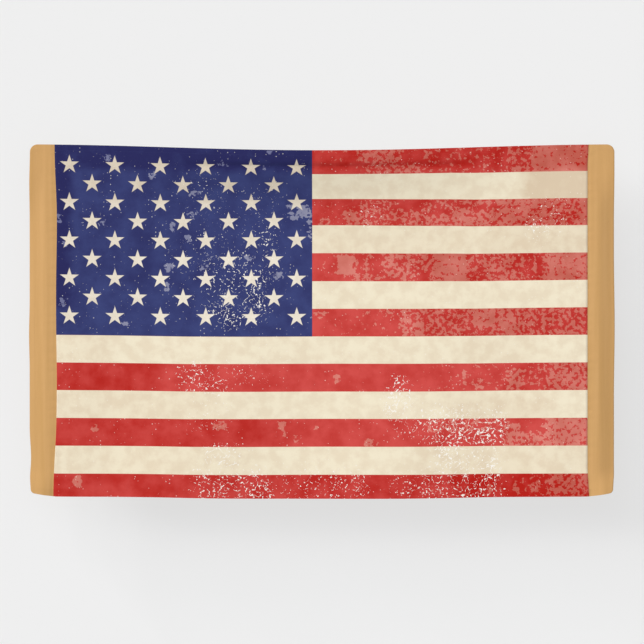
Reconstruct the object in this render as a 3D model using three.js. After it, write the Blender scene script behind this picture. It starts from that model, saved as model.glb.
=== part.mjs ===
// A wide printed flag banner, hanging from its two upper corners.
//
// Frame: millimetres, +Z up. The origin is the middle of the top edge. +X runs along the width,
// to the right of someone facing the print, and the print faces -Y. The wall is on the +Y side.
//
// The cloth is worked out flat first. u runs from the middle, along the width, and v from the
// top edge down. setBack(u, v) says how far behind the front of the top edge each point hangs,
// and the cloth keeps its height while it follows that depth: where it leans, it reaches less
// far down.

import * as THREE from 'three';

// Cut sizes
const WIDTH = 1524;              // cut width, 5 ft
const HEIGHT = 914.4;            // cut height, 3 ft
const BAND_WIDTH = 70;           // plain band at each end
const THICKNESS = 1.4;           // cloth with its turned hems
const SEAM_GAP = 0.3;            // clearance between the panel and a band
const TOP_CORNER = 20;           // radius of the upper outer corners
const BOTTOM_CORNER = 9;         // radius of the lower outer corners

// How the cloth hangs
const TOP_SAG = 18.5;            // drop of the top edge's middle below its corners
const BOW = 46;                  // how far the slack top edge stands forward at its middle
const BOW_HALF_WIDTH = 680;      // the bow dies out this far from the middle
const LEAN_LENGTH = 170;         // cloth below the top edge that leans out with the bow

// Soft crease under the top edge
const CREASE_DROP = 45;
const CREASE_DEPTH = 4.5;
const CREASE_WIDTH = 7.5;
const CREASE_MIDDLE = 20;
const CREASE_HALF_LENGTH = 430;
const CREASE_EVEN_SHARE = 0.7;  // share of the half length over which it keeps its full depth

// End bands: the outer part turns back, and the lower corner curls forward and is drawn up
const TURN_WIDTH = 45;
const TURN_DEPTH = 11;
const FLAT_CORNER = 70;          // height of the flat patch at each upper corner
const TURN_FADE = 130;           // length over which the turn grows below that patch
const CURL_HEIGHT = 72;
const CURL_DEPTH = 14;
const DRAW_UP = 8;               // how far the hem draws the lower outer corner up
const DRAW_HEIGHT = 150;         // height over which that grows

// Broad, shallow waves of the hanging field
const WAVE_DEPTH = 3;
const WAVE_LENGTH = 520;
const WAVE_SLANT = 0.25;         // sideways shift of a wave for each millimetre down the cloth
const WAVE_EDGE_FADE = 140;

// The cloth reaches a little lower towards its ends and a little less far at its middle
const END_STRETCH = 2.4;         // most that the lower edge moves, either way
const STRETCH_START = 380;       // distances from the middle between which one turns into the other
const STRETCH_END = 700;

// The cut edges and the seams wander: each entry moves an edge outwards by so much at one height,
// and dies out over the reach above and below it
const EDGE_WANDER = {
  left: [
    { height: 20, outward: -1.8, reach: 90 },
    { height: 495, outward: 1.6, reach: 90 },
    { height: 815, outward: -3.6, reach: 80 },
    { height: HEIGHT, outward: -4.5, reach: 60 },
  ],
  right: [
    { height: 470, outward: 2, reach: 190 },
    { height: HEIGHT, outward: -4, reach: 60 },
  ],
};
const SEAM_WANDER = {
  left: [
    { height: 0, outward: 4, reach: 190 },
    { height: 200, outward: -2, reach: 190 },
    { height: 620, outward: -2, reach: 190 },
    { height: HEIGHT, outward: 7, reach: 200 },
  ],
  right: [
    { height: 0, outward: 2.5, reach: 60 },
    { height: HEIGHT, outward: 4, reach: 80 },
  ],
};

// Mesh fineness
const PANEL_COLUMNS = 30;
const BAND_COLUMNS = 5;
const TOP_CORNER_ROWS = 5;
const CREASE_ROWS = 6;
const LEAN_ROWS = 5;
const FIELD_ROWS = 10;
const CURL_ROWS = 5;
const BOTTOM_CORNER_ROWS = 4;
const ARC_STEPS = 48;            // steps used to keep the cloth's length down a line
const NORMAL_STEP = 0.5;         // distance over which a normal is measured

const COLOURS = {
  print: 0xc74b46,
  tan: 0xce9f68,
};
const CLOTH_ROUGHNESS = 0.85;

const HALF_WIDTH = WIDTH / 2;
const CREASE_BOTTOM = 2 * CREASE_DROP - TOP_CORNER;
const CURL_TOP = HEIGHT - CURL_HEIGHT;

function smooth(from, to, value) {
  return THREE.MathUtils.smoothstep(value, from, to);
}

/** 1 at the middle of the width, falling to 0 where the bow ends. */
function bowShare(u) {
  if (Math.abs(u) >= BOW_HALF_WIDTH) return 0;
  return Math.cos((Math.PI * u) / (2 * BOW_HALF_WIDTH)) ** 2;
}

/** Depth of the soft crease under the top edge. */
function creaseDepth(u, v) {
  const along = 1 - smooth(CREASE_EVEN_SHARE, 1, Math.abs(u - CREASE_MIDDLE) / CREASE_HALF_LENGTH);
  const across = Math.exp(-(((v - CREASE_DROP) / CREASE_WIDTH) ** 2));
  return CREASE_DEPTH * along * across;
}

/** How far the outer part of an end band turns back. */
function turnDepth(u, v) {
  const across = smooth(HALF_WIDTH - TURN_WIDTH, HALF_WIDTH, Math.abs(u));
  const below = smooth(FLAT_CORNER, FLAT_CORNER + TURN_FADE, v);
  return TURN_DEPTH * across * below;
}

/** How far a lower outer corner curls forward. */
function curlDepth(u, v) {
  const across = smooth(HALF_WIDTH - BAND_WIDTH, HALF_WIDTH, Math.abs(u));
  return CURL_DEPTH * across * smooth(CURL_TOP, HEIGHT, v);
}

/** Shallow waves, strongest low in the field and gone at the seams and the top. */
function waveDepth(u, v) {
  const inside = 1 - smooth(BOW_HALF_WIDTH - WAVE_EDGE_FADE, BOW_HALF_WIDTH, Math.abs(u));
  const below = smooth(LEAN_LENGTH, HEIGHT, v);
  const phase = (2 * Math.PI * (u + WAVE_SLANT * v)) / WAVE_LENGTH;
  return WAVE_DEPTH * inside * below * Math.sin(phase);
}

/** Distance behind the front of the top edge, of the point (u, v) of the flat cloth. */
function setBack(u, v) {
  const forward = BOW * bowShare(u) * (1 - smooth(0, LEAN_LENGTH, v));
  return BOW - forward + creaseDepth(u, v) + turnDepth(u, v) + waveDepth(u, v) - curlDepth(u, v);
}

/** How far below the top edge the cloth reaches at (u, v), once its leaning is allowed for. */
function dropTo(u, v) {
  const step = v / ARC_STEPS;
  let drop = 0;
  let last = setBack(u, 0);
  for (let i = 1; i <= ARC_STEPS; i += 1) {
    const next = setBack(u, step * i);
    drop += Math.sign(step) * Math.sqrt(Math.max(step ** 2 - (next - last) ** 2, 0));
    last = next;
  }
  return drop;
}

/** How much lower the cloth reaches than its flat length gives: less than nothing at the middle. */
function stretch(u, v) {
  const outwards = smooth(STRETCH_START, STRETCH_END, Math.abs(u));
  return END_STRETCH * (2 * outwards - 1) * (v / HEIGHT);
}

/** How far the lower part of an end band is drawn up, growing evenly from its seam outwards. */
function drawnUp(u, v) {
  const across = THREE.MathUtils.clamp((Math.abs(u) - HALF_WIDTH + BAND_WIDTH) / BAND_WIDTH, 0, 1);
  return DRAW_UP * across * smooth(HEIGHT - DRAW_HEIGHT, HEIGHT, v);
}

/** The middle of the cloth's thickness at (u, v). */
function hang(u, v) {
  const topEdge = (TOP_SAG * (1 - Math.cos((Math.PI * u) / HALF_WIDTH))) / 2;
  const height = topEdge - dropTo(u, v) - stretch(u, v) + drawnUp(u, v);
  return new THREE.Vector3(u, setBack(u, v), height);
}

/** Unit normal of the printed face at (u, v). */
function faceNormal(u, v) {
  const acrossCloth = hang(u + NORMAL_STEP, v).sub(hang(u - NORMAL_STEP, v));
  const downCloth = hang(u, v + NORMAL_STEP).sub(hang(u, v - NORMAL_STEP));
  return downCloth.cross(acrossCloth).normalize();
}

/** Sum of the outward moves that a list of wanders gives at height v. */
function wander(list, v) {
  let outward = 0;
  for (const { height, outward: most, reach } of list) {
    outward += most * (1 - smooth(0, reach, Math.abs(v - height)));
  }
  return outward;
}

/** Distance from the middle of the cloth to the seam of an end band, at height v. */
function seamAt(side, v) {
  return HALF_WIDTH - BAND_WIDTH + wander(SEAM_WANDER[side], v);
}

/** Distance from the middle of the cloth to a band's cut edge, with its rounded corners. */
function outerEdgeAt(side, v) {
  const topRise = Math.max(TOP_CORNER - v, 0);
  const bottomRise = Math.max(v - (HEIGHT - BOTTOM_CORNER), 0);
  const topInset = TOP_CORNER - Math.sqrt(TOP_CORNER ** 2 - topRise ** 2);
  const bottomInset = BOTTOM_CORNER - Math.sqrt(Math.max(BOTTOM_CORNER ** 2 - bottomRise ** 2, 0));
  return HALF_WIDTH + wander(EDGE_WANDER[side], v) - topInset - bottomInset;
}

/** Heights of the mesh's rows: closer at the corners, at the crease and where the corners curl. */
function rowHeights() {
  const rows = [0];
  for (let i = 1; i <= TOP_CORNER_ROWS; i += 1) {
    rows.push(TOP_CORNER * (1 - Math.cos((Math.PI * i) / (2 * TOP_CORNER_ROWS))));
  }
  const stretches = [
    [CREASE_BOTTOM, CREASE_ROWS],
    [LEAN_LENGTH, LEAN_ROWS],
    [CURL_TOP, FIELD_ROWS],
    [HEIGHT - BOTTOM_CORNER, CURL_ROWS],
  ];
  for (const [end, count] of stretches) {
    const start = rows[rows.length - 1];
    for (let i = 1; i <= count; i += 1) {
      rows.push(start + ((end - start) * i) / count);
    }
  }
  for (let i = 1; i <= BOTTOM_CORNER_ROWS; i += 1) {
    const turn = (Math.PI * i) / (2 * BOTTOM_CORNER_ROWS);
    rows.push(HEIGHT - BOTTOM_CORNER * (1 - Math.sin(turn)));
  }
  return rows;
}

/**
 * A closed sheet between two edges of the flat cloth. leftEdge and rightEdge give u at a
 * height v. Each row of the grid has a front point and a back point in every column.
 */
function sheetGeometry(columns, leftEdge, rightEdge) {
  const rows = rowHeights();
  const across = columns + 1;
  const perSide = rows.length * across;
  const positions = new Float32Array(perSide * 2 * 3);
  rows.forEach((v, row) => {
    const left = leftEdge(v);
    const right = rightEdge(v);
    for (let column = 0; column < across; column += 1) {
      const u = left + ((right - left) * column) / columns;
      const middle = hang(u, v);
      const offset = faceNormal(u, v).multiplyScalar(THICKNESS / 2);
      const index = row * across + column;
      middle.clone().add(offset).toArray(positions, index * 3);
      middle.clone().sub(offset).toArray(positions, (perSide + index) * 3);
    }
  });

  const faces = [];
  const quad = (a, b, c, d) => faces.push(a, b, c, a, c, d);
  for (let row = 0; row < rows.length - 1; row += 1) {
    for (let column = 0; column < columns; column += 1) {
      const a = row * across + column;
      const b = a + across;
      quad(a, b, b + 1, a + 1);
      quad(perSide + a, perSide + a + 1, perSide + b + 1, perSide + b);
    }
  }
  for (let row = 0; row < rows.length - 1; row += 1) {
    const left = row * across;
    const right = left + columns;
    quad(left, perSide + left, perSide + left + across, left + across);
    quad(right, right + across, perSide + right + across, perSide + right);
  }
  const lastRow = (rows.length - 1) * across;
  for (let column = 0; column < columns; column += 1) {
    const top = column;
    const bottom = lastRow + column;
    quad(top, top + 1, perSide + top + 1, perSide + top);
    quad(bottom, perSide + bottom, perSide + bottom + 1, bottom + 1);
  }

  const geometry = new THREE.BufferGeometry();
  geometry.setAttribute('position', new THREE.BufferAttribute(positions, 3));
  geometry.setIndex(faces);
  geometry.computeVertexNormals();
  return geometry;
}

function clothMesh(name, geometry, colour) {
  const material = new THREE.MeshStandardMaterial({
    color: colour,
    roughness: CLOTH_ROUGHNESS,
    metalness: 0,
  });
  const mesh = new THREE.Mesh(geometry, material);
  mesh.name = name;
  return mesh;
}

function flagPanel() {
  const geometry = sheetGeometry(
    PANEL_COLUMNS,
    (v) => -seamAt('left', v),
    (v) => seamAt('right', v),
  );
  return clothMesh('flag_panel', geometry, COLOURS.print);
}

function bandLeft() {
  const geometry = sheetGeometry(
    BAND_COLUMNS,
    (v) => -outerEdgeAt('left', v),
    (v) => -seamAt('left', v) - SEAM_GAP,
  );
  return clothMesh('band_left', geometry, COLOURS.tan);
}

function bandRight() {
  const geometry = sheetGeometry(
    BAND_COLUMNS,
    (v) => seamAt('right', v) + SEAM_GAP,
    (v) => outerEdgeAt('right', v),
  );
  return clothMesh('band_right', geometry, COLOURS.tan);
}

const banner = new THREE.Group();
banner.name = 'hanging_printed_flag_banner';
banner.add(flagPanel(), bandLeft(), bandRight());

export default banner;
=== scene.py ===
"""A wide printed flag banner, hanging by its top edge in front of a pale wall.

Metres, +Z up. The origin is the middle of the top edge, +X runs along the width, the print faces
-Y and the wall stands on the +Y side. The cloth is worked out flat first: u runs from the middle
along the width, and v from the top edge down. Hang turns (u, v) into a point of the hung cloth.
"""

import logging
import math
from collections.abc import Callable
from dataclasses import dataclass
from enum import Enum

import bpy
import numpy as np
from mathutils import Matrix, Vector


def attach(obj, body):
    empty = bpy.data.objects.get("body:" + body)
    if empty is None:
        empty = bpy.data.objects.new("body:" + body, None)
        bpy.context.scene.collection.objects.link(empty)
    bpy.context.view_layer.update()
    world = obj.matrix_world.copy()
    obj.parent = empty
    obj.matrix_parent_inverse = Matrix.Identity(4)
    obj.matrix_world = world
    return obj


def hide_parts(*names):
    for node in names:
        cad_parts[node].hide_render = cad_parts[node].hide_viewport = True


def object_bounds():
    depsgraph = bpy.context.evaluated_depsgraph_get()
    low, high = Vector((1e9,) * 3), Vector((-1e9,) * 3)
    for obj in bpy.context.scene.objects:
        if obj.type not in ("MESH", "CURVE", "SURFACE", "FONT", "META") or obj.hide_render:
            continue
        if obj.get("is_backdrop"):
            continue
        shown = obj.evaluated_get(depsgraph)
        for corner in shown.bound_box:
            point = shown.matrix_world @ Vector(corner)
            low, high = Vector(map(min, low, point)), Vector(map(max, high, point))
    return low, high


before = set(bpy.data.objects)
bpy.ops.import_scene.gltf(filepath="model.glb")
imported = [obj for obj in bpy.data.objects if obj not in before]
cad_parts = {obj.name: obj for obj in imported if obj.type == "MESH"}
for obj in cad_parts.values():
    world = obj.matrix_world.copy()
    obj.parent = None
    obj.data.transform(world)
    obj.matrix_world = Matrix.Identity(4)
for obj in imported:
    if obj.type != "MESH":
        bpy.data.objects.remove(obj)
CAD_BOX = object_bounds()

LOG = logging.getLogger("banner")
MM = 0.001
PLACE = "print_place"  # attribute: where a point lies on the flat print, (u, w, 0) in metres

Array = np.ndarray
Tree = bpy.types.NodeTree
Socket = bpy.types.NodeSocket
StitchLine = tuple[Array, Array, float]  # u and v of its points, and how far in front of the middle


class Side(Enum):
    """The two faces of the cloth."""

    FRONT = "front"
    BACK = "back"


class End(Enum):
    """The two ends of the banner, and which way outwards is."""

    LEFT = -1
    RIGHT = 1


def linear(colour: str) -> tuple[float, float, float, float]:
    """Turns an sRGB hex colour into a linear one.

    Args:
        colour: six hex digits after a #.

    Returns:
        Linear red, green and blue, and an alpha of 1.
    """
    parts = [int(colour[i : i + 2], 16) / 255 for i in (1, 3, 5)]
    red, green, blue = (c / 12.92 if c <= 0.04045 else ((c + 0.055) / 1.055) ** 2.4 for c in parts)
    return red, green, blue, 1.0


def smooth(start: float, end: float, value: Array) -> Array:
    """Rises smoothly from 0 at start to 1 at end."""
    t = np.clip((value - start) / (end - start), 0, 1)
    return t * t * (3 - 2 * t)


def add_node(
    tree: Tree, kind: str, inputs: dict | None = None, out: int | str = 0, **settings: object
) -> Socket:
    """Adds one node, with its settings and links.

    Args:
        tree: the tree that gets the node.
        kind: the node's type name.
        inputs: for each input, by name or number, a value or the output that feeds it.
        out: the output to hand back, by name or number.
        settings: the node's own properties.

    Returns:
        The chosen output of the new node, or its first input where it has no output.
    """
    made = tree.nodes.new(kind)
    for name, value in settings.items():
        setattr(made, name, value)
    for key, value in (inputs or {}).items():
        if isinstance(value, Socket):
            tree.links.new(value, made.inputs[key])
        else:
            made.inputs[key].default_value = value
    return made.outputs[out] if len(made.outputs) else made.inputs[0]


def add_object(name: str, data: bpy.types.ID) -> bpy.types.Object:
    """Makes an object and links it to the scene.

    Args:
        name: the object's name.
        data: its mesh, lamp or camera.

    Returns:
        The object.
    """
    made = bpy.data.objects.new(name, data)
    bpy.context.scene.collection.objects.link(made)
    return made


def store(mesh: bpy.types.Mesh, name: str, values: Array) -> None:
    """Writes a number or a vector for each vertex to an attribute.

    Args:
        mesh: the mesh that gets it.
        name: the attribute's name.
        values: one row for each vertex.
    """
    kind, field_name = ("FLOAT_VECTOR", "vector") if values.ndim == 2 else ("FLOAT", "value")
    attribute = mesh.attributes.new(name, kind, "POINT")
    attribute.data.foreach_set(field_name, values.astype(np.float32).ravel())


# ---------------------------------------------------------------------------------------------
# The shape of the cloth
# ---------------------------------------------------------------------------------------------


@dataclass(frozen=True)
class Cut:
    """Cut sizes of the flat banner."""

    half_width: float = 762 * MM
    height: float = 914.4 * MM
    band: float = 70 * MM
    top_corner: float = 20 * MM
    bottom_corner: float = 9 * MM
    hem: float = 17 * MM
    hem_step: float = 1.2 * MM  # over which a hem thins to one layer
    cloth: float = 0.7 * MM  # one layer
    hemmed: float = 1.4 * MM  # a folded hem

    def from_edge(self, v: Array) -> Array:
        """Distance from height v to the nearer of the top and bottom edges."""
        return np.minimum(v, self.height - v)

    def thickness(self, inset: Array) -> Array:
        """Thickness of the cloth at a distance in from a hemmed edge."""
        step = smooth(self.hem, self.hem + self.hem_step, inset)
        return self.hemmed + (self.cloth - self.hemmed) * step


@dataclass(frozen=True)
class Move:
    """An outward move of an edge, which dies out over the reach above and below its height."""

    height: float
    outward: float
    reach: float


@dataclass(frozen=True)
class Hang:
    """How the cloth hangs: the depth and the height of each point of the flat cloth.

    In every method, u is the place along the width and v the height, from the top edge down.
    """

    cut: Cut = Cut()
    top_sag: float = 18.5 * MM
    bow: float = 46 * MM
    bow_half_width: float = 680 * MM
    lean: float = 170 * MM
    crease_drop: float = 45 * MM
    crease_depth: float = 4.5 * MM
    crease_width: float = 7.5 * MM
    crease_middle: float = 20 * MM
    crease_half_length: float = 430 * MM
    crease_even_share: float = 0.7
    turn_width: float = 45 * MM
    turn_depth: float = 11 * MM
    flat_corner: float = 70 * MM
    turn_fade: float = 130 * MM
    curl_height: float = 72 * MM
    curl_depth: float = 14 * MM
    draw_up: float = 8 * MM  # how far the hem draws the lower outer corner up
    draw_height: float = 150 * MM
    wave_depth: float = 3 * MM
    wave_length: float = 520 * MM
    wave_slant: float = 0.25
    wave_edge_fade: float = 140 * MM
    end_stretch: float = 2.4 * MM  # most that the lower edge moves, either way
    stretch_start: float = 380 * MM
    stretch_end: float = 700 * MM
    pucker_depth: float = 0.35 * MM
    pucker_length: float = 31 * MM
    pucker_reach: float = 34 * MM
    seam_wander: tuple[float, float] = (1.7, 3.7)  # keeps the ripples by a seam from looking regular
    hem_wander: tuple[float, float] = (2.1, 4.3)
    arc_steps: int = 48

    def bow_share(self, u: Array) -> Array:
        """1 at the middle of the width, falling to 0 where the bow ends."""
        inside = np.abs(u) < self.bow_half_width
        return np.where(inside, np.cos(math.pi * u / (2 * self.bow_half_width)) ** 2, 0)

    def crease(self, u: Array, v: Array) -> Array:
        """Depth of the soft crease under the top edge."""
        reach = np.abs(u - self.crease_middle) / self.crease_half_length
        across = np.exp(-(((v - self.crease_drop) / self.crease_width) ** 2))
        return self.crease_depth * (1 - smooth(self.crease_even_share, 1, reach)) * across

    def turn(self, u: Array, v: Array) -> Array:
        """How far the outer part of an end band turns back."""
        half = self.cut.half_width
        across = smooth(half - self.turn_width, half, np.abs(u))
        return self.turn_depth * across * smooth(self.flat_corner, self.flat_corner + self.turn_fade, v)

    def curl(self, u: Array, v: Array) -> Array:
        """How far a lower outer corner curls forward."""
        half = self.cut.half_width
        across = smooth(half - self.cut.band, half, np.abs(u))
        return self.curl_depth * across * smooth(self.cut.height - self.curl_height, self.cut.height, v)

    def wave(self, u: Array, v: Array) -> Array:
        """Shallow waves, strongest low in the field and gone at the seams and the top."""
        inside = 1 - smooth(self.bow_half_width - self.wave_edge_fade, self.bow_half_width, np.abs(u))
        phase = 2 * math.pi * (u + self.wave_slant * v) / self.wave_length
        return self.wave_depth * inside * smooth(self.lean, self.cut.height, v) * np.sin(phase)

    def set_back(self, u: Array, v: Array) -> Array:
        """Distance behind the front of the top edge, of the point (u, v) of the flat cloth."""
        forward = self.bow * self.bow_share(u) * (1 - smooth(0, self.lean, v))
        return self.bow - forward + self.crease(u, v) + self.turn(u, v) + self.wave(u, v) - self.curl(u, v)

    def pucker(self, u: Array, v: Array) -> Array:
        """Small ripples that the sewing draws up along the seams and the hems.

        Args:
            u: places along the width.
            v: heights.

        Returns:
            The depth of the ripples.
        """
        cut = self.cut
        ripples = 0
        for away, along, (turn, slow) in (
            (np.abs(u) - (cut.half_width - cut.band), v, self.seam_wander),
            (cut.from_edge(v) - cut.hem, u, self.hem_wander),
        ):
            near = 1 - smooth(0, self.pucker_reach, np.abs(away))
            phase = 2 * math.pi * along / self.pucker_length
            ripples = ripples + near * np.sin(phase + turn * np.sin(phase / slow))
        return self.pucker_depth * ripples

    def drop_to(self, u: Array, v: Array) -> Array:
        """How far below the top edge the cloth reaches, once its leaning is allowed for.

        Args:
            u: places along the width.
            v: heights.

        Returns:
            The drop below the top edge.
        """
        step = v / self.arc_steps
        drop = np.zeros_like(v)
        last = self.set_back(u, np.zeros_like(v))
        for i in range(1, self.arc_steps + 1):
            here = self.set_back(u, step * i)
            drop += np.sign(step) * np.sqrt(np.maximum(step**2 - (here - last) ** 2, 0))
            last = here
        return drop

    def stretch(self, u: Array, v: Array) -> Array:
        """How much lower the cloth reaches than its flat length: less than nothing at the middle."""
        outwards = smooth(self.stretch_start, self.stretch_end, np.abs(u))
        return self.end_stretch * (2 * outwards - 1) * v / self.cut.height

    def drawn_up(self, u: Array, v: Array) -> Array:
        """How far the lower part of an end band is drawn up, growing evenly from its seam outwards."""
        cut = self.cut
        across = np.clip((np.abs(u) - cut.half_width + cut.band) / cut.band, 0, 1)
        return self.draw_up * across * smooth(cut.height - self.draw_height, cut.height, v)

    def point(self, u: Array, v: Array) -> Array:
        """The middle of the hung cloth at (u, v), as rows of x, y and z."""
        top_edge = self.top_sag * (1 - np.cos(math.pi * u / self.cut.half_width)) / 2
        height = top_edge - self.drop_to(u, v) - self.stretch(u, v) + self.drawn_up(u, v)
        return np.stack([u, self.set_back(u, v) + self.pucker(u, v), height], -1)

    def normal(self, u: Array, v: Array, step: float = 0.5 * MM) -> Array:
        """Unit normal of the printed face.

        Args:
            u: places along the width.
            v: heights.
            step: how far to each side the slope is taken.

        Returns:
            The normals, as rows of x, y and z.
        """
        across = self.point(u + step, v) - self.point(u - step, v)
        down = self.point(u, v + step) - self.point(u, v - step)
        normal = np.cross(down, across)
        return normal / np.linalg.norm(normal, axis=-1, keepdims=True)


# How the outer edges and the seams wander from straight.
EDGE_MOVES = {
    End.LEFT: (
        Move(20 * MM, -1.8 * MM, 90 * MM),
        Move(495 * MM, 1.6 * MM, 90 * MM),
        Move(815 * MM, -3.6 * MM, 80 * MM),
        Move(914.4 * MM, -4.5 * MM, 60 * MM),
    ),
    End.RIGHT: (Move(470 * MM, 2 * MM, 190 * MM), Move(914.4 * MM, -4 * MM, 60 * MM)),
}
SEAM_MOVES = {
    End.LEFT: (
        Move(0, 4 * MM, 190 * MM),
        Move(200 * MM, -2 * MM, 190 * MM),
        Move(620 * MM, -2 * MM, 190 * MM),
        Move(914.4 * MM, 7 * MM, 200 * MM),
    ),
    End.RIGHT: (Move(0, 2.5 * MM, 60 * MM), Move(914.4 * MM, 4 * MM, 80 * MM)),
}


@dataclass(frozen=True)
class Outline:
    """Where the seams and the outer edges run, at each height of the flat cloth."""

    cut: Cut = Cut()

    def seam(self, end: End, v: Array) -> Array:
        """Distance from the middle of the cloth to the seam of an end band."""
        return self.cut.half_width - self.cut.band + self._wander(SEAM_MOVES[end], v)

    def edge(self, end: End, v: Array) -> Array:
        """Distance from the middle of the cloth to a band's outer edge, with its rounded corners."""
        inset = self._corner(self.cut.top_corner, v)
        inset += self._corner(self.cut.bottom_corner, self.cut.height - v)
        return self.cut.half_width + self._wander(EDGE_MOVES[end], v) - inset

    def _wander(self, moves: tuple[Move, ...], v: Array) -> Array:
        """Sum of the moves at height v."""
        return sum(m.outward * (1 - smooth(0, m.reach, np.abs(v - m.height))) for m in moves)

    def _corner(self, radius: float, depth: Array) -> Array:
        """How far a rounded corner is cut back, at a depth below or above the corner."""
        rise = np.clip(radius - depth, 0, radius)
        return radius - np.sqrt(np.maximum(radius**2 - rise**2, 0))


# ---------------------------------------------------------------------------------------------
# The print and its wear
# ---------------------------------------------------------------------------------------------


@dataclass(frozen=True)
class Layout:
    """Sizes of the print. The height w on the print runs down, as v does on the flat cloth."""

    first_stripe: float = 69 * MM
    stripe: float = 71.4 * MM
    canton_edge: float = -25 * MM
    canton_bottom: float = 497.4 * MM
    star: float = 25.6 * MM  # from a star's middle to its points
    star_pitch: float = 118.4 * MM
    first_star: float = -657.3 * MM
    first_row: float = 51.3 * MM
    row_pitch: float = 49.5 * MM
    droop: float = 4.1 * MM  # the print lies a little low halfway down
    lift: float = 5 * MM  # and a little high in the middle, under the lean
    lift_height: float = 200 * MM
    lift_reach: float = 110 * MM
    lift_half_width: float = 420 * MM
    rise: float = 3 * MM  # the print runs higher here, and a little lower at its ends
    rise_middle: float = 60 * MM
    rise_half_width: float = 420 * MM
    end_fall: float = 0.9 * MM

    def stripe_top(self, number: int) -> float:
        """Height w of the top of a stripe, counted from 1."""
        return 0.0 if number == 1 else self.first_stripe + self.stripe * (number - 2)

    def place(self, u: Array, v: Array, height: float) -> Array:
        """Finds where the points of the flat cloth lie on the print.

        Args:
            u: places along the width.
            v: heights on the cloth.
            height: the cloth's whole height.

        Returns:
            Rows of u, the height w on the print, and 0.
        """
        bell = np.exp(-((u / self.lift_half_width) ** 2) - ((v - self.lift_height) / self.lift_reach) ** 2)
        rise = self.rise * np.exp(-(((u - self.rise_middle) / self.rise_half_width) ** 2)) - self.end_fall
        w = v + self.droop * np.sin(math.pi * v / height) + self.lift * bell + rise
        return np.stack([u, w, np.zeros_like(u)], -1)


@dataclass(frozen=True)
class Patch:
    """A worn patch: its left, right, top and bottom on the print in mm, and the share worn away."""

    left: float
    right: float
    top: float
    bottom: float
    share: float


PAST_EDGE = 0.3  # share of a stripe by which a patch that reaches its edge runs past it


def stripe_patches(layout: Layout, stripe: int, *rows: tuple[float, ...]) -> list[Patch]:
    """Patches of one stripe.

    Args:
        layout: the print's sizes.
        stripe: the stripe's number, from 1 at the top.
        rows: for each patch its left and right in mm, the shares of the stripe's height where it
            starts and ends, and the share worn away.

    Returns:
        The patches, in mm on the print.
    """
    top = layout.stripe_top(stripe) / MM
    height = layout.stripe_top(stripe + 1) / MM - top
    patches = []
    for left, right, start, end, share in rows:
        start = start if start > 0 else -PAST_EDGE
        end = end if end < 1 else 1 + PAST_EDGE
        patches.append(Patch(left, right, top + height * start, top + height * end, share))
    return patches


def boxes(*rows: tuple[float, ...]) -> list[Patch]:
    """Patches given by their left, right, top and bottom, in mm, and their share."""
    return [Patch(*row) for row in rows]


def spots(*rows: tuple[float, ...]) -> list[Patch]:
    """Patches given by their middle and half sizes, in mm, and their share."""
    return [Patch(u - wide, u + wide, w - high, w + high, share) for u, w, wide, high, share in rows]


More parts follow.
